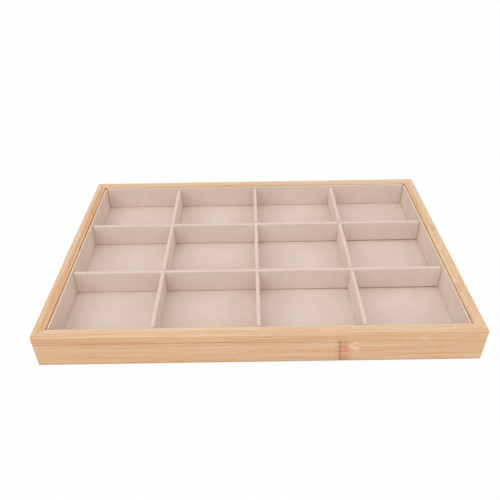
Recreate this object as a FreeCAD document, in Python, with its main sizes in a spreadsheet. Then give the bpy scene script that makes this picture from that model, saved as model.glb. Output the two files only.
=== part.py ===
import FreeCAD, Part
import os
import re

import Sketcher

os.makedirs("parts", exist_ok=True)

# A jewelry display tray. Four mitred bamboo rails hold a base panel in a groove, and loose tongues
# lock the mitres. A lift-out insert stands on the base: a velvet floor with four velvet walls. In it
# stands a loose grid of velvet dividers, half-lapped where they cross.
# The origin is the middle of the underside, with X along the front, Y to the back and Z up.

# Driving dimensions, in millimetres
SIZES = {
    # Bamboo frame
    "tray_length": 350.0,
    "tray_depth": 240.0,
    "tray_height": 30.0,
    "rail_thickness": 9.5,
    "corner_radius": 1.5,
    "rim_radius": 0.8,
    # Base panel, let into a groove in the rails
    "base_recess": 2.0,
    "base_thickness": 2.5,
    "groove_depth": 4.0,
    "groove_play": 0.2,
    # Loose tongues, glued across the mitres
    "tongue_inset": 5.2,
    "tongue_thickness": 2.5,
    "tongue_width": 7.0,
    "tongue_cover": 4.0,
    "tongue_play": 0.1,
    # Lift-out insert: floor and walls, covered with velvet
    "insert_play": 0.5,
    "insert_drop": 0.5,
    "cloth_thickness": 0.5,
    "floor_thickness": 1.0,
    "wall_thickness": 1.0,
    "wall_end_play": 0.2,
    "front_wall_drop": 2.5,
    "board_edge_radius": 0.5,
    # Grid of dividers, half-lapped and covered with velvet
    "divider_thickness": 2.5,
    "divider_drop": 1.5,
    "divider_end_play": 0.5,
    "cross_lift": 0.8,
    "slot_play": 0.1,
    # How far a cut runs past the face that it opens
    "cut_overrun": 2.0,
}

LONG_DIVIDERS = ("left", "middle", "right")
CROSS_DIVIDERS = ("front", "back")

# A rounded edge takes at most this share of the board that carries it
EDGE_LIMIT_SHARE = 0.4
# The half-lap lies at this share of a divider's height
LAP_SHARE = 0.5

# Sizes that follow from the driving dimensions
DERIVED = {
    "opening_length": "tray_length - 2 * rail_thickness",
    "opening_depth": "tray_depth - 2 * rail_thickness",
    "corner_trim": "corner_radius * (1 - cos(45deg))",
    "base_top": "base_recess + base_thickness",
    "panel_margin": "groove_depth - groove_play",
    "tongue_bottom": "base_top + groove_play + tongue_cover",
    "tongue_height": "tray_height - tongue_cover - tongue_bottom",
    "insert_length": "opening_length - 2 * insert_play",
    "insert_depth": "opening_depth - 2 * insert_play",
    "floor_top": "base_top + floor_thickness + cloth_thickness",
    "wall_width": "wall_thickness + 2 * cloth_thickness",
    "wall_height": "tray_height - insert_drop - floor_top",
    "front_wall_height": "wall_height - front_wall_drop",
    "inner_length": "insert_length - 2 * wall_width",
    "inner_depth": "insert_depth - 2 * wall_width",
    "divider_width": "divider_thickness + 2 * cloth_thickness",
    "divider_height": "wall_height - divider_drop",
    "cross_height": "divider_height - cross_lift",
    "lap_height": f"divider_height * {LAP_SHARE}",
    "slot_half_width": "divider_width / 2 + slot_play",
    "column_pitch": f"(insert_length + divider_width) / {len(LONG_DIVIDERS) + 1}",
    "row_pitch": f"(insert_depth + divider_width) / {len(CROSS_DIVIDERS) + 1}",
}

SAME_PLACE = 1e-4

doc = FreeCAD.newDocument("JewelryTray")
sheet = doc.addObject("Spreadsheet::Sheet", "Sizes")


def fill_sheet():
    """Driving dimensions in column A, what follows from them in column B."""
    for row, (alias, length) in enumerate(SIZES.items(), 1):
        sheet.set(f"A{row}", str(length))
        sheet.setAlias(f"A{row}", alias)
    doc.recompute()
    for row, (alias, formula) in enumerate(DERIVED.items(), 1):
        sheet.set(f"B{row}", f"={formula}")
        sheet.setAlias(f"B{row}", alias)
        doc.recompute()


def value(expression):
    return float(sheet.evalExpression(expression))


def bind(expression):
    """The expression with each size named as a cell of the sheet."""
    names = "|".join(sorted(SIZES.keys() | DERIVED.keys(), key=len, reverse=True))
    return re.sub(rf"\b({names})\b", r"Sizes.\1", expression)


def new_body(label, x="0", y="0", z="0", turn=0):
    """A body that stands at (x, y, z), turned about the vertical by this many degrees."""
    body = doc.addObject("PartDesign::Body", label)
    body.Label = label
    upright = FreeCAD.Vector(0, 0, 1)
    body.Placement = FreeCAD.Placement(FreeCAD.Vector(), FreeCAD.Rotation(upright, turn))
    for axis, place in zip("xyz", (x, y, z)):
        body.setExpression(f"Placement.Base.{axis}", bind(place))
    return body


def new_sketch(body, plane, height="0"):
    """A sketch on one of the body's own planes, raised along that plane's normal."""
    sketch = body.newObject("Sketcher::SketchObject", f"{body.Label}_sketch")
    support = next(f for f in body.Origin.OriginFeatures if f.Role == plane)
    sketch.AttachmentSupport = (support, "")
    sketch.MapMode = "FlatFace"
    sketch.setExpression("AttachmentOffset.Base.z", bind(height))
    return sketch


def draw(sketch, corners, rounds=()):
    """A closed outline through the corners, anticlockwise, with every corner bound to its sizes.

    Each of rounds names the corner where an arc starts, and the arc's radius: the outline then
    follows the arc to the next corner, in place of a straight line.
    """
    radii = dict(rounds)
    points = [FreeCAD.Vector(value(x), value(y), 0) for x, y in corners]
    first = sketch.GeometryCount
    for number, start in enumerate(points):
        end = points[(number + 1) % len(points)]
        if number in radii:
            sketch.addGeometry(convex_arc(start, end, value(radii[number])))
        else:
            sketch.addGeometry(Part.LineSegment(start, end))
    for number, (x, y) in enumerate(corners):
        edge = first + number
        following = first + (number + 1) % len(corners)
        sketch.addConstraint(Sketcher.Constraint("Coincident", edge, 2, following, 1))
        for kind, place in (("DistanceX", x), ("DistanceY", y)):
            rule = Sketcher.Constraint(kind, -1, 1, edge, 1, value(place))
            fix(sketch, rule, place)
    for number, radius in radii.items():
        rule = Sketcher.Constraint("Radius", first + number, value(radius))
        fix(sketch, rule, radius)


def convex_arc(start, end, radius):
    """The short arc from start to end that bulges to the right of the way from one to the other."""
    chord = end - start
    outward = FreeCAD.Vector(chord.y, -chord.x, 0).normalize()
    half = chord.Length / 2
    rise = radius - (radius**2 - half**2) ** 0.5
    top = (start + end) / 2 + outward * rise
    return Part.Arc(start, top, end)


def fix(sketch, rule, expression):
    number = sketch.addConstraint(rule)
    sketch.setExpression(f"Constraints[{number}]", bind(expression))


def draw_rectangle(sketch, left, right, low, high):
    draw(sketch, [(left, low), (right, low), (right, high), (left, high)])


def half_of(length):
    return f"-1 * {length} / 2", f"{length} / 2"


def pad(body, sketch, height):
    feature = body.newObject("PartDesign::Pad", f"{body.Label}_pad")
    feature.Profile = sketch
    feature.setExpression("Length", bind(height))
    doc.recompute()
    return feature


def pocket(body, sketch, depth=None):
    """Cuts the sketch upwards by the depth, or right through on both sides of its plane."""
    before = body.Shape.Volume
    feature = body.newObject("PartDesign::Pocket", f"{body.Label}_pocket")
    feature.Profile = sketch
    if depth is None:
        feature.Type = "ThroughAll"
        feature.SideType = "Symmetric"
    else:
        feature.Reversed = True
        feature.setExpression("Length", bind(depth))
    doc.recompute()
    if body.Shape.Volume > before - SAME_PLACE:
        raise ValueError(f"a pocket of {body.Label} cuts nothing")
    return feature


def round_edges(body, base, names, radius):
    feature = body.newObject("PartDesign::Fillet", f"{body.Label}_round")
    feature.Base = (base, names)
    feature.setExpression("Radius", bind(radius))
    doc.recompute()
    return feature


def named_edges(feature, wanted):
    return [f"Edge{number}" for number, edge in enumerate(feature.Shape.Edges, 1) if wanted(edge)]


def edges_along(feature, height):
    """The straight edges that run along the body's X axis at this height."""
    level = value(height)

    def wanted(edge):
        box = edge.BoundBox
        level_with = abs(box.ZMin - level) < SAME_PLACE and box.ZLength < SAME_PLACE
        return level_with and box.YLength < SAME_PLACE

    return named_edges(feature, wanted)


def rim_edges(feature):
    """A rail's edges at its top and bottom, apart from those along its mitres."""
    levels = (0, value("tray_height"))

    def wanted(edge):
        box = edge.BoundBox
        on_rim = any(abs(box.ZMin - level) < SAME_PLACE for level in levels)
        on_mitre = abs(box.XLength - box.YLength) < SAME_PLACE
        return on_rim and box.ZLength < SAME_PLACE and not on_mitre

    return named_edges(feature, wanted)


def rail(label, length, x, y, turn):
    """A frame rail: mitred, eased, grooved for the base panel and slotted for two tongues.

    It lies along its X axis, with its outer face at Y zero and its underside at Z zero.
    """
    body = new_body(label, x, y, turn=turn)
    plan = new_sketch(body, "XY_Plane")
    left, right = half_of(length)
    corners = [
        (f"{left} + corner_radius", "0"),
        (f"{right} - corner_radius", "0"),
        (f"{right} - corner_trim", "corner_trim"),
        (f"{right} - rail_thickness", "rail_thickness"),
        (f"{left} + rail_thickness", "rail_thickness"),
        (f"{left} + corner_trim", "corner_trim"),
    ]
    draw(plan, corners, rounds=((1, "corner_radius"), (5, "corner_radius")))
    stock = pad(body, plan, "tray_height")
    round_edges(body, stock, rim_edges(stock), "rim_radius")
    cut_groove(body)
    cut_tongue_slots(body, length)


def cut_groove(body):
    section = new_sketch(body, "YZ_Plane")
    draw_rectangle(
        section,
        "rail_thickness - groove_depth",
        "rail_thickness + cut_overrun",
        "base_recess",
        "base_top + groove_play",
    )
    pocket(body, section)


def cut_tongue_slots(body, length):
    """A slot square to each mitre face, half a tongue deep, closed above and below."""
    plan = new_sketch(body, "XY_Plane", "tongue_bottom")
    along = "( tongue_thickness / 2 + tongue_play ) * cos(45deg)"
    across = "( tongue_width / 2 + tongue_play ) * cos(45deg)"
    for end in (-1, 1):
        middle = f"{end} * ( {length} / 2 - tongue_inset )"
        corners = [
            (f"{middle} - {end} * ( {across} {a} {along} )", f"tongue_inset {a} {along} - {across}")
            for a in "-+"
        ] + [
            (f"{middle} + {end} * ( {across} {a} {along} )", f"tongue_inset {b} {along} + {across}")
            for a, b in ("-+", "+-")
        ]
        draw(plan, corners)
    pocket(body, plan, "tongue_height + tongue_play")


def tongue(label, x_sign, y_sign):
    body = new_body(
        label,
        f"{x_sign} * ( tray_length / 2 - tongue_inset )",
        f"{y_sign} * ( tray_depth / 2 - tongue_inset )",
        "tongue_bottom",
        turn=-45 * x_sign * y_sign,
    )
    plan = new_sketch(body, "XY_Plane")
    draw_rectangle(plan, *half_of("tongue_width"), *half_of("tongue_thickness"))
    pad(body, plan, "tongue_height")


def plate(label, length, depth, thickness, z):
    """A flat plate about the tray's middle, with its underside at height z."""
    body = new_body(label, z=z)
    plan = new_sketch(body, "XY_Plane")
    draw_rectangle(plan, *half_of(length), *half_of(depth))
    pad(body, plan, thickness)
    return body


def covered_floor():
    """The insert's floor: a board, and a velvet sheet that lies on it and turns down over its edges."""
    board_length = "( insert_length - 2 * cloth_thickness )"
    board_depth = "( insert_depth - 2 * cloth_thickness )"
    plate("insert_floor_board", board_length, board_depth, "floor_thickness", "base_top")
    cover_thickness = "floor_thickness + cloth_thickness"
    velvet = plate("insert_floor_velvet", "insert_length", "insert_depth", cover_thickness, "base_top")
    plan = new_sketch(velvet, "XY_Plane")
    draw_rectangle(plan, *half_of(board_length), *half_of(board_depth))
    pocket(velvet, plan, "floor_thickness")


def covered_board(name, length, thickness, height, places, slots=()):
    """An upright board and the velvet strip that is folded over its top edge, down both faces.

    Both lie along their X axis. Each of slots is (middle, low, high): where it lies along the
    board, and the heights that it runs between.
    """
    edge_radius = f"min(board_edge_radius; {EDGE_LIMIT_SHARE} * {thickness})"
    board_height = f"{height} - cloth_thickness"
    board = new_body(f"{name}_board", *places)
    core = pad_bar(board, length, thickness, board_height)
    round_edges(board, core, edges_along(core, board_height), edge_radius)

    velvet = new_body(f"{name}_velvet", *places)
    bar = pad_bar(velvet, length, f"( {thickness} + 2 * cloth_thickness )", height)
    round_edges(velvet, bar, edges_along(bar, height), f"{edge_radius} + cloth_thickness")
    inside = new_sketch(velvet, "YZ_Plane")
    draw_rectangle(inside, *half_of(thickness), "-1 * cut_overrun", board_height)
    strip = pocket(velvet, inside)
    round_edges(velvet, strip, edges_along(strip, board_height), edge_radius)

    for body in (board, velvet):
        cut_slots(body, slots)


def pad_bar(body, length, width, height):
    plan = new_sketch(body, "XY_Plane")
    draw_rectangle(plan, *half_of(length), *half_of(width))
    return pad(body, plan, height)


def cut_slots(body, slots):
    if not slots:
        return
    face = new_sketch(body, "XZ_Plane")
    for middle, low, high in slots:
        draw_rectangle(face, f"{middle} - slot_half_width", f"{middle} + slot_half_width", low, high)
    pocket(body, face)


def steps(count, pitch):
    """The places of a row of dividers, about the middle of the tray."""
    return [f"{number - (count - 1) / 2} * {pitch}" for number in range(count)]


def frame():
    rail("front_rail", "tray_length", "0", "-1 * tray_depth / 2", 0)
    rail("back_rail", "tray_length", "0", "tray_depth / 2", 180)
    rail("left_rail", "tray_depth", "-1 * tray_length / 2", "0", -90)
    rail("right_rail", "tray_depth", "tray_length / 2", "0", 90)
    for y_word, y_sign in (("front", -1), ("back", 1)):
        for x_word, x_sign in (("left", -1), ("right", 1)):
            tongue(f"corner_tongue_{y_word}_{x_word}", x_sign, y_sign)
    panel_length = "( opening_length + 2 * panel_margin )"
    panel_depth = "( opening_depth + 2 * panel_margin )"
    plate("base_panel", panel_length, panel_depth, "base_thickness", "base_recess")


def insert():
    """Four walls stand along the floor's edges. They end where they meet, so the corners stay open."""
    covered_floor()
    side_length = "( inner_depth - 2 * wall_end_play )"
    for word, sign in (("left", -1), ("right", 1)):
        place = f"{sign} * ( insert_length - wall_width ) / 2"
        places = (place, "0", "floor_top", 90)
        covered_board(f"{word}_wall", side_length, "wall_thickness", "wall_height", places)
    end_length = "( inner_length - 2 * wall_end_play )"
    for word, sign, height in (("front", -1, "front_wall_height"), ("back", 1, "wall_height")):
        place = f"{sign} * ( insert_depth - wall_width ) / 2"
        places = ("0", place, "floor_top", 0)
        covered_board(f"{word}_wall", end_length, "wall_thickness", height, places)


def divider_grid():
    """Long dividers stand on the floor, slotted from above; cross dividers hang in those slots."""
    columns = steps(len(LONG_DIVIDERS), "column_pitch")
    rows = steps(len(CROSS_DIVIDERS), "row_pitch")
    long_length = "( inner_depth - 2 * divider_end_play )"
    upper_slots = [(row, "lap_height", "divider_height + cut_overrun") for row in rows]
    for word, column in zip(LONG_DIVIDERS, columns):
        covered_board(
            f"long_divider_{word}",
            long_length,
            "divider_thickness",
            "divider_height",
            (column, "0", "floor_top", 90),
            upper_slots,
        )
    cross_length = "( inner_length - 2 * divider_end_play )"
    lower_slots = [(column, "-1 * cut_overrun", "lap_height - cross_lift") for column in columns]
    for word, row in zip(CROSS_DIVIDERS, rows):
        covered_board(
            f"cross_divider_{word}",
            cross_length,
            "divider_thickness",
            "cross_height",
            ("0", row, "floor_top + cross_lift", 0),
            lower_slots,
        )


def export():
    doc.recompute()
    for item in doc.Objects:
        if "Invalid" in item.State or "Error" in item.State:
            raise ValueError(f"{item.Label} failed: {item.State}")
    bodies = [item for item in doc.Objects if item.TypeId == "PartDesign::Body"]
    for body in bodies:
        if body.Shape.isNull() or not body.Shape.isValid():
            raise ValueError(f"{body.Label} has no valid shape")
    for body in bodies:
        body.Shape.exportStep(f"parts/{body.Label}.step")
        print(f"{body.Label}: {body.Shape.Volume:.1f} mm3, {len(body.Shape.Solids)} solid")


fill_sheet()
frame()
insert()
divider_grid()
export()
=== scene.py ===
# %% [markdown]
# # A jewelry tray: bamboo outside, velvet inside
#
# The tray is a shallow frame of four bamboo rails. A velvet insert lies loose in the frame, and a
# loose grid of velvet dividers stands in the insert and makes twelve places for jewelry.
#
# The solid construction already exists as a packed model: rails, base, boards and velvet covers, each
# in its own place. This lesson adds the looks. The rails, boards and base keep their solid shapes and
# get finishes made of nodes. The velvet covers are cloth, so each one is modelled again as a thin sheet.

# %% Load the packed model
from typing import NamedTuple

import bpy
import numpy as np
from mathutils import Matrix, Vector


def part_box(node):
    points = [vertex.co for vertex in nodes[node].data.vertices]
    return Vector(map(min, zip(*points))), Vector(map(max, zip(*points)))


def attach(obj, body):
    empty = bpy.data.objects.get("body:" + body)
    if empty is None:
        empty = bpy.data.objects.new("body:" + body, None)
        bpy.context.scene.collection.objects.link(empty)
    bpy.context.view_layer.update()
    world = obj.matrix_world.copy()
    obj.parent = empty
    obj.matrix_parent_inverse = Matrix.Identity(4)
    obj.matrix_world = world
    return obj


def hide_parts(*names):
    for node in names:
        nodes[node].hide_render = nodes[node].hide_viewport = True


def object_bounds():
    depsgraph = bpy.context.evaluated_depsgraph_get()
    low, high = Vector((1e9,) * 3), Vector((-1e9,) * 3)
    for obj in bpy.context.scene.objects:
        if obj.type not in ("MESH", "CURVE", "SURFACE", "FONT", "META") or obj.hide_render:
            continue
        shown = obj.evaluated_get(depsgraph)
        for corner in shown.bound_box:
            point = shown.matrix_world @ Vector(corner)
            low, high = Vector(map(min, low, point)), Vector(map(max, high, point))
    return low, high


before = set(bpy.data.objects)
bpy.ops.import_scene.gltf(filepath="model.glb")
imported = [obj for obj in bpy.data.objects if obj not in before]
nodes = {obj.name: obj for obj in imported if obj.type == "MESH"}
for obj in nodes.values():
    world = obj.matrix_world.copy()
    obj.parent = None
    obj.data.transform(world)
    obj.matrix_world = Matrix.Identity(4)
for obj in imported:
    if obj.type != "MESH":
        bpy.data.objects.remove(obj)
cad_box = [list(corner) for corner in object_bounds()]

# %% [markdown]
# ## Sizes come from the solids
#
# Every size that the solids already have is read from them, so the looks follow when a size changes.
# Blender works in metres, and a tray has details well under a millimetre, so one short name for a
# millimetre keeps the numbers readable.

# %% Read the main sizes
MM = 0.001


def corners(node):
    """The lowest and highest corner of a solid, as arrays in metres."""
    return [np.array(corner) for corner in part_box(node)]


tray_size = np.ptp(cad_box, axis=0)
rim_height = cad_box[1][2]

print("Tray", np.round(tray_size / MM, 2), "mm, with its rim at", round(rim_height / MM, 2), "mm")

# %% [markdown]
# ## Cloth as a grid
#
# A velvet cover is a sheet that is glued round a board. A box could stand in for it, but then its fold
# would be a hard corner and its slots would need boolean cuts. Here the sheet is a grid of points,
# worked out for the whole cover at once: rows run along the board and columns run over it. Cells of
# the grid that the maker cut away are left out, and a Solidify modifier gives the sheet its thickness
# on the side that faces the board. The sheet is a little thinner than the room between its face and
# the board, so that the two never share a surface.

# %% Make a sheet of cloth from a grid
CLOTH_THICKNESS = 0.3 * MM


def sharpen_rims(mesh):
    """Marks the open edges of a sheet as sharp, so that its cut edge doesn't shade the face beside it."""
    sides = np.empty(len(mesh.loops), np.int32)
    mesh.loops.foreach_get("edge_index", sides)
    uses = np.bincount(sides, minlength=len(mesh.edges))
    rim = mesh.attributes.new("sharp_edge", "BOOLEAN", "EDGE")
    rim.data.foreach_set("value", uses == 1)


def cloth_sheet(name, points, keep, fold):
    """A sheet through a grid of points, of shape (rows, columns, 3).

    Cell (i, j) is the quad from point (i, j) to point (i + 1, j + 1), and is made where keep is true.
    fold says, for each point, how near it lies to a fold: 1 on the fold and 0 away from it.
    """
    index = np.arange(fold.size).reshape(fold.shape)
    quads = np.stack([index[:-1, :-1], index[1:, :-1], index[1:, 1:], index[:-1, 1:]], axis=-1)[keep]
    used, quads = np.unique(quads, return_inverse=True)
    mesh = bpy.data.meshes.new(name)
    mesh.from_pydata(points.reshape(-1, 3)[used], [], quads.reshape(-1, 4))
    mesh.polygons.foreach_set("use_smooth", np.ones(len(mesh.polygons), bool))
    sharpen_rims(mesh)
    layer = mesh.attributes.new("fold", "FLOAT", "POINT")
    layer.data.foreach_set("value", fold.reshape(-1)[used].astype(np.float32))
    piece = bpy.data.objects.new(name, mesh)
    bpy.context.scene.collection.objects.link(piece)
    thickness = piece.modifiers.new("cloth thickness", "SOLIDIFY")
    thickness.thickness = CLOTH_THICKNESS
    thickness.offset = -1
    thickness.use_even_offset = True
    return piece


print("A sheet of velvet is", round(CLOTH_THICKNESS / MM, 2), "mm thick")

# %% [markdown]
# ## Small helpers for the grid
#
# The rows and columns of a grid have to fall exactly on the edges of a slot, and may be spaced freely
# in between. Glued velvet is never quite flat, so each sheet also gets a soft unevenness: slanting
# sine waves of a few lengths, added up. It only ever pushes the cloth in, towards its board, so it
# can't push one piece into another.

# %% Space the points and make them uneven
CLOTH_STEP = 1.6 * MM
RIPPLE_LENGTHS = np.array([23.0, 37.0, 61.0]) * MM
RIPPLE_TURNS = np.array([0.4, 1.9, 2.9])
SAMPLE_MM = (300, 40)


def evenly(breaks, step):
    """Places from the first break to the last, about a step apart, that include every break."""
    spans = zip(breaks[:-1], breaks[1:])
    runs = [np.linspace(a, b, max(1, round((b - a) / step)), endpoint=False) for a, b in spans]
    return np.concatenate([*runs, breaks[-1:]])


def ripple(u, v, phase):
    """A soft unevenness from 0 to 1: the mean of (1 + sin(distance along the wave)) / 2 of the waves."""
    along = u[..., None] * np.cos(RIPPLE_TURNS) + v[..., None] * np.sin(RIPPLE_TURNS)
    waves = np.sin(2 * np.pi * along / RIPPLE_LENGTHS + phase * (1 + RIPPLE_TURNS))
    return (0.5 + 0.5 * waves).mean(axis=-1)


sample = ripple(*(np.indices(SAMPLE_MM) * MM), phase=1.0)
print("Over", SAMPLE_MM, "mm the unevenness runs from", round(sample.min(), 2), "to", round(sample.max(), 2))

# %% [markdown]
# ## A strip folded over a board
#
# Walls and dividers are made alike: a strip of velvet goes up one face of a board, over its top edge
# and down the other face. Seen from the end it is an upside-down U with rounded shoulders. A box with
# bevelled edges has that outline too, but a line of points that is carried along the board also knows
# where each point lies on the flat cloth. The strip is trimmed just short of the floor, which leaves
# the fine dark line along the foot of each wall.

# %% Draw the outline of a fold
FOLD_STEPS = 6
TRIMMED_SHORT = 0.3 * MM


def fold_outline(width, height, lap, radius):
    """Points over a folded strip, and the directions that it faces there.

    Up the first face, then a quarter circle: across = width / 2 - radius * (1 - cos a), up = height -
    radius * (1 - sin a). The second half is the first one mirrored.
    """
    rise = evenly(np.array([TRIMMED_SHORT, lap, height - radius]), CLOTH_STEP)
    turn = np.linspace(0, np.pi / 2, FOLD_STEPS + 1)[1:]
    angle = np.concatenate([np.zeros(len(rise)), turn])
    across = width / 2 - radius * (1 - np.cos(angle))
    up = np.concatenate([rise, height - radius * (1 - np.sin(turn))])
    outline = np.concatenate([np.stack([-across, up], 1), np.stack([across, up], 1)[::-1]])
    facing = np.stack([np.cos(angle), np.sin(angle)], 1)
    return outline, np.concatenate([facing * [-1, 1], facing[::-1]])


print("A fold turns in", 2 * FOLD_STEPS, "steps and is cut", round(TRIMMED_SHORT / MM, 2), "mm short")

# %% [markdown]
# ## Ends and slots
#
# The ends of a divider can be seen over the rim, so there the cloth is tucked in over the board's end,
# where its two sides almost meet in a seam. The ends of a wall stay open, in the corners of the insert.
#
# Where dividers cross, half of each is cut away. The long dividers are slotted from above and the
# cross dividers from below, so the grid's cells in a slot are left out on that side of the lap. That
# needs no boolean, because the edges of every slot are places on the grid.

# %% Place the points along a strip
TUCK_RADIUS = 0.4 * MM
TUCK_SEAM = 0.1 * MM
TUCK_STEPS = 3


def strip_places(length, cuts, half_width, overrun, tucked):
    """Places along a strip, and how far it has turned in there.

    The strip runs past its solid by an overrun at each end. A tucked end goes round a quarter circle,
    radius * (1 - sin a) short of the end and radius * (1 - cos a) in, and then straight in, almost to
    the middle.
    """
    first, last = -length / 2 - overrun[0], length / 2 + overrun[1]
    if not tucked:
        along = evenly(np.array([first, *cuts, last]), CLOTH_STEP)
        return along, np.zeros(len(along))
    straight = evenly(np.array([first + TUCK_RADIUS, *cuts, last - TUCK_RADIUS]), CLOTH_STEP)
    turn = np.linspace(0, np.pi / 2, TUCK_STEPS + 1)[1:]
    flap = np.linspace(TUCK_RADIUS, half_width - TUCK_SEAM / 2, TUCK_STEPS + 1)[1:]
    short = np.concatenate([TUCK_RADIUS * (1 - np.sin(turn)), np.zeros(TUCK_STEPS)])
    inset = np.concatenate([TUCK_RADIUS * (1 - np.cos(turn)), flap])
    along = np.concatenate([first + short[::-1], straight, last - short])
    return along, np.concatenate([inset[::-1], np.zeros(len(straight)), inset])


print("A tucked end leaves a seam of", round(TUCK_SEAM / MM, 2), "mm")


# %% Leave out the slots
def uncut_cells(along, up, slots, slot_width, lap, open_above):
    """Which cells of a strip's grid stay: those outside the slots, or on the whole side of the lap."""
    place = (along[:-1] + along[1:]) / 2
    height = (up[:-1] + up[1:]) / 2
    in_slot = (np.abs(place[:, None] - slots) < slot_width / 2).any(axis=1)
    cut_side = height > lap if open_above else height < lap
    return ~(in_slot[:, None] & cut_side)


steps = np.arange(5)
kept = uncut_cells(steps, steps, slots=[1.5], slot_width=1, lap=2, open_above=True)
print("A small grid with one slot keeps", kept.sum(), "of its", kept.size, "cells")

# %% [markdown]
# ## The whole strip
#
# Glued cloth isn't a perfect channel. Its faces are a little uneven, and near every cut the fold sinks,
# as cloth does where scissors have let it go. It was trimmed by hand, so on a cross divider it hangs
# lower at one end than at the other. A cloth simulation could find such shapes for a loose cover, but
# this one is glued to its board, so each of them is a small formula that moves the points of the grid.

# %% Fold a strip of velvet
FOLD_RADIUS = 1.0 * MM
FACE_UNEVENNESS = 0.1 * MM
CUT_SINK = 0.08 * MM
CUT_REACH = 1.5 * MM
FOLD_REACH = 1.1 * MM
HANG_REACH = 6 * MM


def travelled(across, up):
    """How far along a line each of its points lies: the sum of the steps before it."""
    steps = np.hypot(np.diff(across), np.diff(up))
    return np.concatenate([[0], np.cumsum(steps)])


def folded_strip(node, radius=FOLD_RADIUS, slots=(), slot_width=0.0, lap=None, open_above=False,
                 overrun=(0.0, 0.0), tucked=False, hang=(0.0, 0.0, 0.0), phase=0.0):
    """A velvet strip in the place of a solid cover, the size of the flat cloth, and its area.

    Where the faces have turned in, the outline shrinks towards the board's middle plane, and its arch
    towards the point half a width below the top. hang is how far the strip's foot reaches below its
    solid at its first end, its middle and its last end. It changes evenly between them, and fades out up
    the face.
    """
    low, high = corners(node)
    middle = (low + high) / 2
    size = high - low
    runs_along_y = size[1] > size[0]
    length, width, height = max(size[:2]), min(size[:2]), size[2]
    lap = height / 2 if lap is None else lap - low[2]
    own_slots = np.array(slots) - middle[1 if runs_along_y else 0]
    cuts = [place + side * slot_width / 2 for place in own_slots for side in (-1, 1)]
    along, inset = strip_places(length, cuts, width / 2, overrun, tucked)
    outline, facing = fold_outline(width, height, lap, radius)
    run = travelled(along, inset)
    girth = travelled(*outline.T)
    keep = uncut_cells(along, outline[:, 1], own_slots, slot_width, lap, open_above)

    u, column = np.meshgrid(along, np.arange(len(outline)), indexing="ij")
    pushed_in = FACE_UNEVENNESS * ripple(u, girth[column], phase)
    across, up = np.moveaxis(outline[column] - pushed_in[..., None] * facing[column], -1, 0)
    ends = [along[0], along[-1], *(cuts if open_above else [])]
    to_cut = np.abs(u[..., None] - ends).min(axis=-1)
    fold = np.exp(-(((height - up) / FOLD_REACH) ** 2))
    up = up - CUT_SINK * fold * np.exp(-((to_cut / CUT_REACH) ** 2))
    up = up - np.interp(u, [-length / 2, 0, length / 2], hang) * np.maximum(1 - up / HANG_REACH, 0)
    turned_in = inset[:, None] / (width / 2)
    across = across * (1 - turned_in)
    up = up - turned_in * np.maximum(up - (height - width / 2), 0)

    if runs_along_y:
        places = [middle[0] - across, middle[1] + u, low[2] + up]
    else:
        places = [middle[0] + u, middle[1] + across, low[2] + up]
    piece = cloth_sheet(node.replace("_velvet", "_cloth"), np.stack(places, axis=-1), keep, fold)
    area = np.outer(np.diff(run), np.diff(girth))[keep].sum()
    return piece, (run[-1], girth[-1]), area


print("A strip is uneven by up to", round(FACE_UNEVENNESS / MM, 2), "mm")

# %% [markdown]
# ## The walls and the dividers
#
# Every strip takes the place of one solid cover: the solid is hidden, the cloth is attached to the insert
# or to the grid of dividers so that it moves with it, and the size that the cloth was cut to is printed.
#
# At the front, the side walls' cloth runs on over the open corner of the insert, as far as the front
# wall's face. The grid lies against the left wall, so the cross dividers leave a wider gap on the right.

# %% Cover the walls
VELVET = "velvet"
WALL_FOLD_RADIUS = 0.5 * MM
FRONT_OVERRUN = 2.0 * MM
WALL_PHASE_STEP = 1.3

cloths = {}


def declare_cloth(node, body, held, piece, flat, area):
    """Hides the solid that a sheet of velvet stands for, attaches the sheet to the body it moves with, and
    prints the size it was cut to.
    """
    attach(piece, body)
    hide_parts(node)
    cloths[node] = piece
    print(f"{piece.name}: cut {flat[0] / MM:.1f} x {flat[1] / MM:.1f} mm, {area / MM**2:.0f} mm2")


for number, wall in enumerate(("left", "right", "front", "back")):
    node = f"{wall}_wall_velvet"
    strip = folded_strip(
        node,
        radius=WALL_FOLD_RADIUS,
        overrun=(FRONT_OVERRUN if wall in ("left", "right") else 0.0, 0.0),
        phase=WALL_PHASE_STEP * number,
    )
    declare_cloth(node, "insert", "folded", *strip)

# %% Cover the dividers
SLOT_PLAY = 0.1 * MM
CROSS_HANG = np.array([0.8, 0.6, -0.3]) * MM
CROSS_OVERRUN = np.array([0.47, 0.4]) * MM
LONG_HANG = np.zeros(3)
LONG_OVERRUN = np.array([0.4, 0.4]) * MM
DIVIDER_PHASE = 6.0
DIVIDER_PHASE_STEP = 1.7

long_nodes = [f"long_divider_{word}_velvet" for word in ("left", "middle", "right")]
cross_nodes = [f"cross_divider_{word}_velvet" for word in ("front", "back")]
columns = [np.mean(corners(node), axis=0)[0] for node in long_nodes]
rows = [np.mean(corners(node), axis=0)[1] for node in cross_nodes]
lap_height = np.mean(corners(long_nodes[0]), axis=0)[2]
divider_width = np.ptp(corners(long_nodes[0]), axis=0)[0]

for number, node in enumerate(long_nodes + cross_nodes):
    is_long = node in long_nodes
    strip = folded_strip(
        node,
        slots=rows if is_long else columns,
        slot_width=divider_width + 2 * SLOT_PLAY,
        lap=lap_height,
        open_above=is_long,
        overrun=LONG_OVERRUN if is_long else CROSS_OVERRUN,
        tucked=True,
        hang=LONG_HANG if is_long else CROSS_HANG,
        phase=DIVIDER_PHASE + DIVIDER_PHASE_STEP * number,
    )
    declare_cloth(node, "divider_grid", "folded", *strip)

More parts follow.
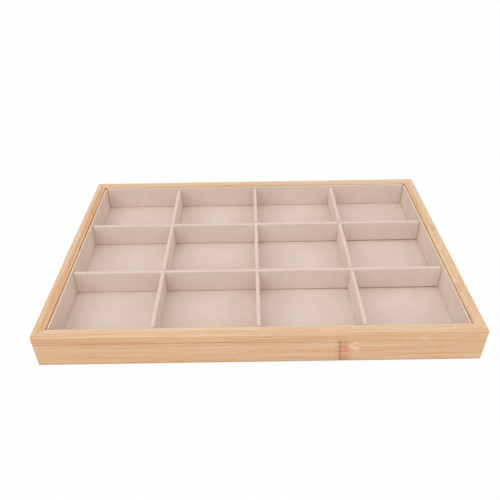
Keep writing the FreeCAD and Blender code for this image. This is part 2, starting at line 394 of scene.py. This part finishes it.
# %% [markdown]
# ## The velvet floor
#
# The floor's velvet lies on a board and turns down over its four edges. On the flat cloth a point is
# (s, t). Going out along s, the cloth first runs level, then round a quarter circle, then straight
# down. The same happens along t. The four corner squares, where the cloth would turn down twice, are
# cut out. A bevelled box could show the same top, but not the open corners.

# %% Turn the edges of the floor down
FLOOR_STEP = 2.2 * MM
FLOOR_EDGE = 0.5 * MM
SAME_PLACE_DIGITS = 8


def turned_down(half, drop):
    """Flat places on the cloth from one edge to the other, and where each lies: (place, depth below).

    With a radius r, the level run ends at half - r. After it comes the arc, half - r + r sin a out and
    r (1 - cos a) down, and then the straight drop.
    """
    level = half - FLOOR_EDGE
    arc = FLOOR_EDGE * np.pi / 2
    hem = level + arc + drop - FLOOR_EDGE
    breaks = np.array([-hem, -level - arc, -level, level, level + arc, hem])
    steps = np.concatenate([evenly(breaks, FLOOR_STEP), np.linspace(level, level + arc, FOLD_STEPS)])
    flat = np.unique(np.round(np.concatenate([steps, -steps]), SAME_PLACE_DIGITS))
    past = np.clip(np.abs(flat) - level, 0, arc) / FLOOR_EDGE
    out = np.minimum(np.abs(flat), level) + FLOOR_EDGE * np.sin(past)
    down = FLOOR_EDGE * (1 - np.cos(past)) + np.maximum(np.abs(flat) - level - arc, 0)
    return flat, np.sign(flat) * out, down


floor_node = "insert_floor_velvet"
low, high = corners(floor_node)
flat_x, place_x, down_x = turned_down(high[0], high[2] - low[2])
flat_y, place_y, down_y = turned_down(high[1], high[2] - low[2])
print("The floor's grid has", len(flat_x), "x", len(flat_y), "points")

# %% Lay the floor
FLOOR_PHASE = 9.0

s, t = np.meshgrid(flat_x, flat_y, indexing="ij")
down = down_x[:, None] + down_y
sunk = FACE_UNEVENNESS * ripple(s, t, FLOOR_PHASE) * (down < FLOOR_EDGE)
x, y = np.meshgrid(place_x, place_y, indexing="ij")
turned_x = (down_x[:-1] + down_x[1:]) / 2 > FLOOR_EDGE
turned_y = (down_y[:-1] + down_y[1:]) / 2 > FLOOR_EDGE
keep = ~(turned_x[:, None] & turned_y)
points = np.stack([x, y, high[2] - down - sunk], axis=-1)
floor_cloth = cloth_sheet("insert_floor_cloth", points, keep, np.zeros(down.shape))
flat = (np.ptp(flat_x), np.ptp(flat_y))
area = np.outer(np.diff(flat_x), np.diff(flat_y))[keep].sum()
declare_cloth(floor_node, "insert", "laid", floor_cloth, flat, area)

# %% [markdown]
# ## Finishes as arithmetic
#
# A finish is a tree of shader nodes. Wiring nodes one by one hides what the tree computes, so one small
# class stands for a node's output and lets Python do the wiring: `1 - mask * 0.5` adds the Math nodes
# for it. A second class holds the tree and has one method that makes any other node.


# %% Wires that do arithmetic
class Wire:
    """A shader node's output. Arithmetic on wires and numbers adds Math nodes."""

    def __init__(self, finish, socket):
        self.finish = finish
        self.socket = socket

    def math(self, operation, *values):
        return self.finish.add("Math", {"operation": operation}, dict(enumerate(values)))

    def __add__(self, other):
        return self.math("ADD", self, other)

    def __sub__(self, other):
        return self.math("SUBTRACT", self, other)

    def __rsub__(self, other):
        return self.math("SUBTRACT", other, self)

    def __mul__(self, other):
        return self.math("MULTIPLY", self, other)

    def __truediv__(self, other):
        return self.math("DIVIDE", self, other)

    def __rtruediv__(self, other):
        return self.math("DIVIDE", other, self)

    def __abs__(self):
        return self.math("ABSOLUTE", self)

    __radd__ = __add__
    __rmul__ = __mul__

    def rises(self, low, high):
        """0 below low, 1 above high, and a smooth rise between them."""
        inputs = {"Value": self, "From Min": low, "From Max": high}
        return self.finish.add("MapRange", {"interpolation_type": "SMOOTHSTEP"}, inputs)

    def falls(self, low, high):
        """1 below low, 0 above high, and a smooth fall between them."""
        return 1 - self.rises(low, high)


print("Besides arithmetic, a wire has", [word for word in vars(Wire) if not word.startswith("_")])

# %% A finish is a tree of nodes
NOISE_MIDDLE = 0.5


class Layer(NamedTuple):
    """A layer of noise: how often it changes along each of its wires, most often per metre, how much it
    weighs in the tone of a finish, and how fine it is."""

    often: tuple
    weight: float = 1.0
    detail: float = 2.0
    roughness: float = 0.5


def set_stops(elements, stops):
    """Gives a colour ramp its stops, each a place from 0 to 1 and a colour."""
    while len(elements) < len(stops):
        elements.new(1.0)
    for element, (place, tint) in zip(elements, stops):
        element.position = place
        element.color = tint


class Finish:
    """The shader tree of a material or a world."""

    def __init__(self, owner):
        owner.use_nodes = True
        self.owner = owner
        self.tree = owner.node_tree
        self.tree.nodes.clear()

    def add(self, kind, settings=None, inputs=None, output=0):
        """Makes a node, sets it, then gives its sockets their values or wires. Returns one output."""
        node = self.tree.nodes.new(f"ShaderNode{kind}")
        for word, setting in (settings or {}).items():
            if word == "stops":
                set_stops(node.color_ramp.elements, setting)
            else:
                setattr(node, word, setting)
        for key, value in (inputs or {}).items():
            if isinstance(value, Wire):
                self.tree.links.new(value.socket, node.inputs[key])
            else:
                node.inputs[key].default_value = value
        return Wire(self, node.outputs[output]) if node.outputs else None

    def place(self):
        """Where a point is on the piece, in metres, as three wires."""
        coordinates = self.add("TexCoord", output="Object")
        return [self.add("SeparateXYZ", inputs={0: coordinates}, output=axis) for axis in range(3)]

    def noise(self, place, layer, shift=0.0):
        """A layer of noise over two or three wires, shifted along the first of them."""
        first, *others = (wire * often for wire, often in zip(place, layer.often))
        spot = self.add("CombineXYZ", inputs=dict(enumerate([first + shift, *others])))
        inputs = {"Vector": spot, "Scale": 1.0, "Detail": layer.detail, "Roughness": layer.roughness}
        return self.add("TexNoise", inputs=inputs)

    def mix(self, share, first, second):
        """One colour turning into another as share goes from 0 to 1."""
        return self.add("Mix", {"data_type": "RGBA"}, {0: share, 6: first, 7: second}, output=2)

    def ramp(self, share, *stops):
        """A colour that runs through the stops as share goes from 0 to 1."""
        return self.add("ValToRGB", {"stops": stops}, {"Fac": share}, output="Color")

    def bump(self, height, distance):
        """Facing as on a relief, whose height of 1 is a distance in metres."""
        return self.add("Bump", inputs={"Height": height, "Distance": distance})

    def principled(self, inputs):
        """Ends the tree in one shader with these inputs."""
        return self.surface(self.add("BsdfPrincipled", inputs=inputs))

    def surface(self, shader, kind="Material"):
        """Ends the tree in a shader, and returns what the tree belongs to."""
        self.add(f"Output{kind}", inputs={"Surface": shader})
        return self.owner


print("A finish has", [word for word in vars(Finish) if not word.startswith("_")])


# %% Colours, and finishes on solids
def colour(red, green, blue):
    """A colour as a screen shows it, 0 to 255, in the linear values that shaders work with.

    The formula is the screen's own: c / 12.92 for very dark values, else ((c + 0.055) / 1.055) ^ 2.4.
    """
    screen = np.array([red, green, blue]) / 255
    linear = np.where(screen <= 0.04045, screen / 12.92, ((screen + 0.055) / 1.055) ** 2.4)
    return (*linear.tolist(), 1.0)


def give(node, material):
    """Puts a finish on a solid, in all its material slots."""
    for place in nodes[node].material_slots:
        place.material = material


print("Middle grey is", round(colour(128, 128, 128)[0], 3), "in linear light")

# %% [markdown]
# ## Bamboo
#
# The rails are cut from laminated bamboo: strips of the culm, glued side by side. Three things make it
# look like bamboo and not like another pale wood. Fine straight fibres run the whole length. Each strip
# has a tone of its own, with a thin dark glue line between strips. And here and there a strip shows a
# joint of the culm.
#
# A picture of bamboo could be laid on the rails, but it would break at their edges. Here the pattern is
# worked out in the solid, from how far a point lies along the rail, in from its outer face and up from
# the table, so it carries on round the edges as real wood does. Each rail differs in where its glue
# lines and joints are.


# %% Describe the four rails
class Joint(NamedTuple):
    """A joint of the culm: its strip and place along the rail, the middle height of its feathers, how
    strong its scar and its feathers are, and how steeply the feathers fan out."""

    strip: str
    place: float
    middle: float
    scar: float
    feathers: float
    steep: float = 1.0


class Rail(NamedTuple):
    """The height of the glue line on a rail's outer face, the depth of the one on its top, how pale its
    lower, upper and inner strips are, how strong its fibres are, and its joints."""

    glue_height: float
    glue_depth: float
    pale: tuple
    fibres: float
    joints: tuple


RAILS = {
    "front_rail": Rail(
        glue_height=22.4 * MM, glue_depth=4.2 * MM, pale=(0.52, 0.4, 0.6), fibres=1.0,
        joints=(
            Joint("lower", place=62.3 * MM, middle=16 * MM, scar=1.0, feathers=1.0),
            Joint("whole", place=115 * MM, middle=24.5 * MM, scar=0.0, feathers=0.8, steep=0.6),
        ),
    ),
    "back_rail": Rail(
        glue_height=9.0 * MM, glue_depth=6.0 * MM, pale=(0.5, 0.6, 0.4), fibres=1.2,
        joints=(Joint("lower", place=-96 * MM, middle=5 * MM, scar=0.8, feathers=0.8),),
    ),
    "left_rail": Rail(
        glue_height=13.0 * MM, glue_depth=4.7 * MM, pale=(0.5, 0.5, 0.16), fibres=1.4,
        joints=(Joint("lower", place=24 * MM, middle=7 * MM, scar=0.7, feathers=0.8),),
    ),
    "right_rail": Rail(
        glue_height=18.0 * MM, glue_depth=5.6 * MM, pale=(0.5, 0.52, 0.5), fibres=1.4,
        joints=(
            Joint("lower", place=-38 * MM, middle=9 * MM, scar=0.6, feathers=0.7),
            Joint("upper", place=20 * MM, middle=27 * MM, scar=0.35, feathers=0.4),
            Joint("inner", place=-70 * MM, middle=27 * MM, scar=0.3, feathers=0.3),
        ),
    ),
}

print("The rails have", sum(len(rail.joints) for rail in RAILS.values()), "joints of the culm")

# %% [markdown]
# ## A joint of the culm
#
# Where a sheath once grew on the culm, the strip has a narrow brown scar across it, not quite square.
# Short dark ticks lie on one side of it. On the other side a reddish blush ends in a knot, from which
# pale and dark feathers fan out. Painting them by hand would give finer strokes, but then every rail
# would need its own picture. Here every mark is a mask from 0 to 1, made of smooth steps that noise
# breaks up. A pair of numbers says where a step begins and where it is complete.

# %% Mask the marks of a joint
BARS = Layer(often=(40, 620), detail=1.0)
BARS_WOBBLE = 9 * MM
SCAR_SIDE = (-0.5 * MM, 0.5 * MM)
SCAR_END = (0.2 * MM, 1.6 * MM)
SCAR_WOBBLE_SHARE = 0.15
SCAR_BARS = (0.1, 0.5)
TICKS_START = (-5 * MM, -3 * MM)
TICKS_BARS = (0.42, 0.58)
BLUSH_END = (4 * MM, 11 * MM)
BLUSH_BARS = (0.34, 0.56)
KNOT = 7.2 * MM
FAN_SPREAD = 2.5 * MM
FAN_END = (5 * MM, 9 * MM)
FAN_WOBBLE_SHARE = 0.5
FAN_SLOPES = (0.5, 0.9)
STROKES = Layer(often=(9, 50), detail=1.0)
DARK_STROKES = (0.38, 0.46)
PALE_STROKES = (0.46, 0.54)
PALE_START = (-2 * MM, 1 * MM)


def culm_joint(finish, away, height, joint):
    """The masks of one joint's marks, in the order in which they are laid on.

    away is how far a point lies past the scar. The feathers are noise over the slope of the line to the
    point from a knot past the scar, (height - middle) / (|away - knot| + spread) / steep, so that they
    fan out.
    """
    bars = finish.noise((away, height), BARS)
    wobble = (bars - NOISE_MIDDLE) * BARS_WOBBLE
    past_scar = away.rises(*SCAR_SIDE)
    past_knot = away - KNOT
    slope = (height - joint.middle) / ((abs(past_knot) + FAN_SPREAD) * joint.steep)
    strokes = finish.noise((slope, past_knot), STROKES)
    fan = abs(past_knot + wobble * FAN_WOBBLE_SHARE).falls(*FAN_END) * abs(slope).falls(*FAN_SLOPES)
    return {
        "blush": past_scar * (away + wobble).falls(*BLUSH_END) * bars.rises(*BLUSH_BARS),
        "ticks": away.rises(*TICKS_START) * (1 - past_scar) * bars.rises(*TICKS_BARS),
        "dark feathers": fan * strokes.falls(*DARK_STROKES),
        "pale feathers": fan * past_knot.rises(*PALE_START) * strokes.rises(*PALE_STROKES),
        "scar": abs(away + wobble * SCAR_WOBBLE_SHARE).falls(*SCAR_END) * bars.rises(*SCAR_BARS),
    }


print("The knot of a joint lies", round(KNOT / MM, 2), "mm past its scar")

# %% [markdown]
# ## The wood of a rail
#
# The tone of the wood adds up layers of noise that is stretched along the fibres: fine fibres, broader
# ones, short dashes and wide clouds. The lower strip is denser, and so darker, towards its glue line.
# Near the rim, on the top and the upper edge of each face, the wood is a little paler. A ramp turns the tone
# into colours, and dark pores, the marks of the joints, the glue line, the line of the mitre at both ends
# and painted shade along the edge that the tray stands on are mixed in after it.

# %% Choose the colours and layers of bamboo
BAMBOO_DEEP = colour(196, 140, 90)
BAMBOO_TAN = colour(222, 175, 129)
BAMBOO_CREAM = colour(230, 205, 174)
BAMBOO_FEATHER = colour(248, 218, 186)
BAMBOO_BLUSH = colour(202, 134, 98)
BAMBOO_SCAR = colour(166, 106, 66)
# Painted shade for the edge that each rail stands on
BAMBOO_FOOT_SHADE = colour(172, 138, 112)
BAMBOO_STOPS = ((0.1, BAMBOO_DEEP), (0.45, BAMBOO_TAN), (0.85, BAMBOO_CREAM))

# Layers of noise along a rail, in from its outer face and up
FINE = Layer(often=(12, 1300, 1300), weight=1.2, roughness=0.6)
FIBRE = Layer(often=(4, 520, 520), weight=0.5)
DASHES = Layer(often=(110, 1000, 1000), weight=0.35, detail=1.0)
CLOUD = Layer(often=(8, 60, 60), weight=0.3, detail=1.0)
PORES = Layer(often=(60, 3600, 3600), weight=0.22, detail=1.0)
PORE_EDGE = (0.58, 0.7)

# The colour of each mark of a joint, and how strong it is
JOINT_MARKS = {
    "blush": (BAMBOO_BLUSH, 0.85),
    "ticks": (BAMBOO_DEEP, 0.5),
    "dark feathers": (BAMBOO_DEEP, 0.7),
    "pale feathers": (BAMBOO_FEATHER, 0.9),
    "scar": (BAMBOO_SCAR, 0.6),
}
JOINT_LEAN = 0.055

print("Bamboo has", len(BAMBOO_STOPS), "tones and", len(JOINT_MARKS), "marks at a joint")

# %% Tell the strips of a rail apart
STRIP_EDGE = 0.05 * MM
UPPER_SHIFT = 3.7
INNER_SHIFT = 2.3
RAIL_SHIFT = 1.9


def rail_places(finish, name):
    """How far a point lies along a rail, in from its outer face, up, and from the rail's nearer end."""
    low, high = (corner.tolist() for corner in corners(name))
    along = 0 if high[0] - low[0] > high[1] - low[1] else 1
    across = 1 - along
    side = 1 if low[across] > 0 else -1
    outer_face = high[across] if side > 0 else -low[across]
    place = finish.place()
    return place[along], outer_face - side * place[across], place[2], high[along] - abs(place[along])


def rail_strips(rail, depth, height):
    """A mask for each strip of a rail and for all of its outer part, how pale the strips are, and a shift
    that moves the noise on from strip to strip."""
    upper = height.rises(rail.glue_height - STRIP_EDGE, rail.glue_height + STRIP_EDGE)
    inner = depth.rises(rail.glue_depth - STRIP_EDGE, rail.glue_depth + STRIP_EDGE)
    outer = 1 - inner
    strips = {"lower": (1 - upper) * outer, "upper": upper * outer, "inner": inner, "whole": outer}
    pale_lower, pale_upper, pale_inner = rail.pale
    pale = pale_lower + upper * (pale_upper - pale_lower)
    return strips, pale + inner * (pale_inner - pale), upper * UPPER_SHIFT + inner * INNER_SHIFT


print("Strips change over", round(2 * STRIP_EDGE / MM, 2), "mm")

# %% Put bamboo on the rails
MIDDLE_TONE = 0.5
PALE_WEIGHT = 0.6
DENSE_REACH = 5 * MM
DENSE_WEIGHT = 0.1
# How far down from the rim, and by how much, the wood is paler
PALE_RIM_REACH = 2.6 * MM
PALE_RIM_WEIGHT = 0.1
# How far up and how strongly painted shade darkens the foot of each rail
FOOT_SHADE_REACH = 2.6 * MM
FOOT_SHADE_STRENGTH = 0.75
GLUE_WIDTH = 0.6 * MM
GLUE_WANDER = 0.4 * MM
GLUE_FADE_PER_METRE = -8
GLUE_FADE = (-0.5, 0.3)
GLUE_STRENGTH = 0.65
MITRE_WIDTH = 0.25 * MM
MITRE_STRENGTH = 0.3
BAMBOO_RELIEF = 0.06 * MM
FIBRE_RELIEF_SHARE = 0.5
PORE_RELIEF_SHARE = 0.3
SCAR_RELIEF_SHARE = 0.4
GLUE_RELIEF_SHARE = 0.3
BAMBOO_ROUGHNESS = 0.5
FIBRE_GLOSS = 0.3


def bamboo(name, number):
    """The finish of one rail. Its tone is the middle one plus its layers of noise, each with a weight."""
    rail = RAILS[name]
    finish = Finish(bpy.data.materials.new(f"bamboo_{name}"))
    run, depth, height, to_end = rail_places(finish, name)
    strips, pale, strip_shift = rail_strips(rail, depth, height)
    shift = strip_shift + RAIL_SHIFT * number
    place = (run, depth, height)
    grains = (FINE, FIBRE, DASHES, CLOUD)
    fine, fibre, dashes, cloud = (finish.noise(place, grain, shift) - NOISE_MIDDLE for grain in grains)
    pores = finish.noise(place, PORES, shift).rises(*PORE_EDGE)
    strands = FINE.weight * fine + FIBRE.weight * fibre + DASHES.weight * dashes
    dense = height.rises(rail.glue_height - DENSE_REACH, rail.glue_height) * strips["lower"]
    # Paler near the rim: the top face and the upper edge of each face
    paler_near_rim = height.rises(rim_height - PALE_RIM_REACH, rim_height)
    tone = MIDDLE_TONE + rail.fibres * strands + CLOUD.weight * cloud
    tone = tone + PALE_WEIGHT * (pale - MIDDLE_TONE) - DENSE_WEIGHT * dense + PALE_RIM_WEIGHT * paler_near_rim
    wood = finish.mix(pores * PORES.weight, finish.ramp(tone, *BAMBOO_STOPS), BAMBOO_DEEP)
    relief = FIBRE_RELIEF_SHARE * (fine + fibre) - PORE_RELIEF_SHARE * pores

    for joint in rail.joints:
        away = run - joint.place + JOINT_LEAN * (height - joint.middle)
        masks = culm_joint(finish, away, height, joint)
        for mark, mask in masks.items():
            tint, strength = JOINT_MARKS[mark]
            share = joint.feathers if mark.endswith("feathers") else joint.scar
            wood = finish.mix(mask * strips[joint.strip] * (strength * share), wood, tint)
        relief = relief - masks["scar"] * strips[joint.strip] * (SCAR_RELIEF_SHARE * joint.scar)

    to_glue = abs(height - rail.glue_height + fibre * GLUE_WANDER)
    faded = (run * GLUE_FADE_PER_METRE + cloud).rises(*GLUE_FADE)
    glue = to_glue.falls(0.0, GLUE_WIDTH) * faded * strips["whole"]
    mitre = abs(depth - to_end).falls(0.0, MITRE_WIDTH)
    wood = finish.mix(glue * GLUE_STRENGTH, wood, BAMBOO_SCAR)
    wood = finish.mix(mitre * MITRE_STRENGTH, wood, BAMBOO_SCAR)
    # Painted shade: the wood darkens towards the edge that the tray stands on
    wood = finish.mix(height.falls(0.0, FOOT_SHADE_REACH) * FOOT_SHADE_STRENGTH, wood, BAMBOO_FOOT_SHADE)
    return finish.principled({
        "Base Color": wood,
        "Roughness": BAMBOO_ROUGHNESS - FIBRE_GLOSS * fibre,
        "Normal": finish.bump(relief - mitre - glue * GLUE_RELIEF_SHARE, BAMBOO_RELIEF),
        "Coat Weight": 0.1,
        "Coat Roughness": 0.3,
    })


for number, name in enumerate(RAILS):
    give(name, bamboo(name, number))
    print(name, "has bamboo with", len(RAILS[name].joints), "culm joints")

# %% [markdown]
# ## Velvet
#
# The cover is a beige display velvet with a short, dense nap. It has no weave to see. What shows is how
# the nap lies: wide soft patches that were brushed one way or the other, a short upright brushing on the
# walls and a grain of single tufts. Hair could make a real pile, but its tufts are finer than a picture of
# the whole tray can show, so the nap is noise. The brushing changes faster sideways than upwards, so on
# the level floor it turns into mottling. Along each fold an even tone, a little darker than the pile, is
# painted shade on the tops of the walls and dividers. Its line comes from the attribute that the grid
# wrote, and it is warmer on the side and front walls, which the bamboo rubs. Sheen on the shader gives the
# pale rim that pile has at a grazing angle.

# %% Velvet for the covers
VELVET_DEEP = colour(219, 199, 185)
VELVET_BEIGE = colour(233, 217, 205)
# Painted shade on the folds, plain and where the bamboo rubs
VELVET_FOLD_SHADE = colour(224, 204, 190)
VELVET_RUBBED_FOLD_SHADE = colour(226, 196, 169)
VELVET_SHEEN = colour(255, 246, 240)
VELVET_TONES = (0.22, 0.78)
PATCHES = Layer(often=(30, 30, 30), weight=0.45)
BRUSHING = Layer(often=(600, 600, 200), weight=0.3)
NAP = Layer(often=(1800, 1800, 1800), weight=0.25)
# How strongly the folds take their painted shade
FOLD_SHADE_STRENGTH = 0.9
VELVET_RELIEF = 0.1 * MM
NAP_RELIEF_SHARE = 0.7
BRUSHING_RELIEF_SHARE = 0.5
VELVET_ROUGHNESS = 0.82
NAP_ROUGHNESS = 0.16
RUBBED_WALLS = ("left_wall", "right_wall", "front_wall")


def velvet(name, fold_shade):
    """The finish of a cover. Its tone is a weighted mean of the patches, the brushing and the nap."""
    finish = Finish(bpy.data.materials.new(name))
    place = finish.place()
    patches, brushed, nap = (finish.noise(place, layer) for layer in (PATCHES, BRUSHING, NAP))
    tone = PATCHES.weight * patches + BRUSHING.weight * brushed + NAP.weight * nap
    pile = finish.mix(tone.rises(*VELVET_TONES), VELVET_DEEP, VELVET_BEIGE)
    fold = finish.add("Attribute", {"attribute_name": "fold"}, output="Fac")
    return finish.principled({
        # Painted shade: an even, darker tone along each fold
        "Base Color": finish.mix(fold * FOLD_SHADE_STRENGTH, pile, fold_shade),
        "Roughness": VELVET_ROUGHNESS + NAP_ROUGHNESS * nap,
        "Normal": finish.bump(nap * NAP_RELIEF_SHARE + brushed * BRUSHING_RELIEF_SHARE, VELVET_RELIEF),
        "Specular IOR Level": 0.2,
        "Sheen Weight": 0.2,
        "Sheen Roughness": 0.45,
        "Sheen Tint": VELVET_SHEEN,
    })


pile = velvet(VELVET, VELVET_FOLD_SHADE)
rubbed_pile = velvet("rubbed_velvet", VELVET_RUBBED_FOLD_SHADE)
for node, piece in cloths.items():
    piece.data.materials.append(rubbed_pile if node.startswith(RUBBED_WALLS) else pile)
print("Velvet is on", len(cloths), "sheets")

# %% [markdown]
# ## Board and base
#
# Inside the velvet are plain grey boards, which show only at their cut ends and undersides when the
# insert or the grid is lifted. Pressed board has flecks of fibre and faint layers. The base is a thin
# bamboo panel: wide strips with fibres along the tray, seen from below. One plain colour could do for
# what shows so little, but under a lifted insert it would look like plastic, so both get a pattern.

# %% Board inside the velvet
BOARD_GREY = colour(160, 143, 120)
BOARD_LIGHT = colour(188, 171, 146)
BOARD_TONES = (0.35, 0.65)
FLECKS = Layer(often=(700, 700, 1800), weight=0.6, detail=3.0)
PRESSED = Layer(often=(30, 30, 2600), weight=0.4, detail=1.0)
BOARD_RELIEF = 0.05 * MM
BOARD_ROUGHNESS = 0.85
FLECK_ROUGHNESS = 0.1


def grey_board():
    """The finish of the boards: a weighted mean of flecks and pressed layers between two greys."""
    finish = Finish(bpy.data.materials.new("grey_board"))
    place = finish.place()
    flecks, pressed = (finish.noise(place, layer) for layer in (FLECKS, PRESSED))
    tone = FLECKS.weight * flecks + PRESSED.weight * pressed
    return finish.principled({
        "Base Color": finish.mix(tone.rises(*BOARD_TONES), BOARD_GREY, BOARD_LIGHT),
        "Roughness": BOARD_ROUGHNESS + FLECK_ROUGHNESS * flecks,
        "Normal": finish.bump(flecks, BOARD_RELIEF),
    })


board = grey_board()
board_nodes = [node for node in nodes if node.endswith("_board")]
for node in board_nodes:
    give(node, board)
print("Board is on", len(board_nodes), "solids")

# %% Bamboo for the base and the tongues
BASE_DEEP = colour(196, 152, 108)
BASE_PALE = colour(226, 188, 144)
BASE_SEAM = colour(176, 122, 76)
BASE_TONES = (0.25, 0.75)
BASE_FIBRE = Layer(often=(8, 620, 620), weight=0.6, detail=3.0)
BASE_STRIP = 24 * MM
BASE_STRIP_WEIGHT = 0.4
BASE_STRIP_SHIFT = 9
SEAM_SHARES = (0.005, 0.02)
SEAM_STRENGTH = 0.5
BASE_RELIEF = 0.06 * MM
BASE_ROUGHNESS = 0.6
BASE_FIBRE_ROUGHNESS = 0.15


def base_bamboo():
    """The finish of the base: y / strip width, rounded down, numbers its strips and gives each its tone."""
    finish = Finish(bpy.data.materials.new("base_bamboo"))
    place = finish.place()
    across = place[1] * (1 / BASE_STRIP)
    strip = across.math("FLOOR", across)
    own_tone = finish.add("TexWhiteNoise", {"noise_dimensions": "1D"}, {"W": strip})
    fibre = finish.noise(place, BASE_FIBRE, shift=own_tone * BASE_STRIP_SHIFT)
    tone = BASE_FIBRE.weight * fibre + BASE_STRIP_WEIGHT * own_tone
    wood = finish.mix(tone.rises(*BASE_TONES), BASE_DEEP, BASE_PALE)
    seam = (across - strip).falls(*SEAM_SHARES)
    return finish.principled({
        "Base Color": finish.mix(seam * SEAM_STRENGTH, wood, BASE_SEAM),
        "Roughness": BASE_ROUGHNESS + BASE_FIBRE_ROUGHNESS * fibre,
        "Normal": finish.bump(fibre - seam, BASE_RELIEF),
    })


base = base_bamboo()
base_nodes = [node for node in nodes if node.startswith(("base_panel", "corner_tongue"))]
for node in base_nodes:
    give(node, base)
print("Base bamboo is on", len(base_nodes), "solids")

# %% [markdown]
# ## Stage and light
#
# The photograph is a product shot on pure white. A light tent gives that look: light comes softly from
# everywhere, with weak large softboxes in front, at the front left, on both sides and above. More light
# would turn the floor white as well, but it would bleach the tray. So to the camera the floor shines
# mostly by itself, and the part of it that doesn't shine still takes the tray's shadow.

# %% Floor and world
FLOOR_HALF_SIZE = 4.0
FLOOR_DROP = 0.05 * MM
FLOOR_GLOW_SHARE = 0.94
FLOOR_PALE = (0.9, 0.9, 0.9, 1.0)
WHITE = (1.0, 1.0, 1.0, 1.0)
WORLD_LIGHT = 0.69


def seen_directly(finish):
    """1 for the camera and for mirrored or refracted views, 0 for light that only illuminates."""
    kinds = ("Camera", "Glossy", "Transmission")
    seen, mirrored, refracted = (finish.add("LightPath", output=f"Is {kind} Ray") for kind in kinds)
    return seen.math("MAXIMUM", seen, seen.math("MAXIMUM", mirrored, refracted))


def white_floor():
    """The floor's finish: matt, and shining white by a share where it is seen directly."""
    finish = Finish(bpy.data.materials.new("white_floor"))
    matt = finish.add("BsdfDiffuse", inputs={"Color": FLOOR_PALE})
    glow = finish.add("Emission", inputs={"Color": WHITE, "Strength": 1.0})
    share = seen_directly(finish) * FLOOR_GLOW_SHARE
    return finish.surface(finish.add("MixShader", inputs={0: share, 1: matt, 2: glow}))


def white_world():
    """The light tent: white where it is seen directly, and dimmer as a light."""
    finish = Finish(bpy.data.worlds.new("light_tent"))
    strength = seen_directly(finish) * (1 - WORLD_LIGHT) + WORLD_LIGHT
    light = finish.add("Background", inputs={"Color": WHITE, "Strength": strength})
    return finish.surface(light, "World")


square = FLOOR_HALF_SIZE * np.array([[-1, -1], [1, -1], [1, 1], [-1, 1]])
floor_mesh = bpy.data.meshes.new("floor")
floor_mesh.from_pydata(np.column_stack([square, np.full(4, -FLOOR_DROP)]), [], [(0, 1, 2, 3)])
floor = bpy.data.objects.new("floor", floor_mesh)
floor.data.materials.append(white_floor())
bpy.context.scene.collection.objects.link(floor)
bpy.context.scene.world = white_world()
print("Floor", 2 * FLOOR_HALF_SIZE, "m wide, in a tent of", WORLD_LIGHT, "of full white")

# %% Softboxes
SOFTBOX_WIDTH = 2.7
SOFTBOX_HEIGHT = 2.2

# Where each softbox stands, in metres, and its power in watts
SOFTBOXES = {
    "front_softbox": ((0.0, -2.3, 2.1), 12.7),
    "front_left_softbox": ((-1.75, -1.75, 1.95), 14.8),
    "left_softbox": ((-2.6, 0.0, 1.8), 10.5),
    "right_softbox": ((2.6, 0.0, 1.8), 10.0),
    "top_softbox": ((0.0, 0.0, 3.1), 8.5),
}


def softbox(name, place, target, power):
    """A large lamp that faces the target: tilted by its angle from above, then turned about the z axis."""
    lamp = bpy.data.lights.new(name, "AREA")
    lamp.shape = "RECTANGLE"
    lamp.size = SOFTBOX_WIDTH
    lamp.size_y = SOFTBOX_HEIGHT
    lamp.energy = power
    holder = bpy.data.objects.new(name, lamp)
    bpy.context.scene.collection.objects.link(holder)
    x, y, z = np.subtract(place, target)
    holder.location = place
    holder.rotation_euler = (np.arctan2(np.hypot(x, y), z), 0, np.arctan2(x, -y))


tray_middle = (0.0, 0.0, rim_height / 2)
for name, (place, power) in SOFTBOXES.items():
    softbox(name, place, tray_middle, power)
print(len(SOFTBOXES), "softboxes face the tray")

# %% [markdown]
# ## Camera
#
# The camera's place, turn and focal length were fitted to the outline of the tray in the photograph,
# with the tray at its real size. The tray stands a little to the right of the camera and is turned by
# less than a degree, which the three angles hold.

# %% Camera
CAMERA_PLACE = (-4.80 * MM, -410.6 * MM, 321.5 * MM)
CAMERA_TURN = (0.9412, 0.0142, -0.0068)
SENSOR_WIDTH = 36.0
FOCAL_PER_FRAME = 1.07252
NEAREST_SEEN = 10 * MM

lens = bpy.data.cameras.new("photo_camera")
lens.sensor_width = SENSOR_WIDTH
lens.lens = FOCAL_PER_FRAME * SENSOR_WIDTH
lens.clip_start = NEAREST_SEEN
camera = bpy.data.objects.new("photo_camera", lens)
camera.location = CAMERA_PLACE
camera.rotation_euler = CAMERA_TURN
bpy.context.scene.collection.objects.link(camera)
bpy.context.scene.camera = camera
bpy.context.scene.view_settings.view_transform = "Standard"
print("Camera", round(lens.lens, 1), "mm lens")

# %% [markdown]
# ## Finish
#
# The looks must not change the object's size.
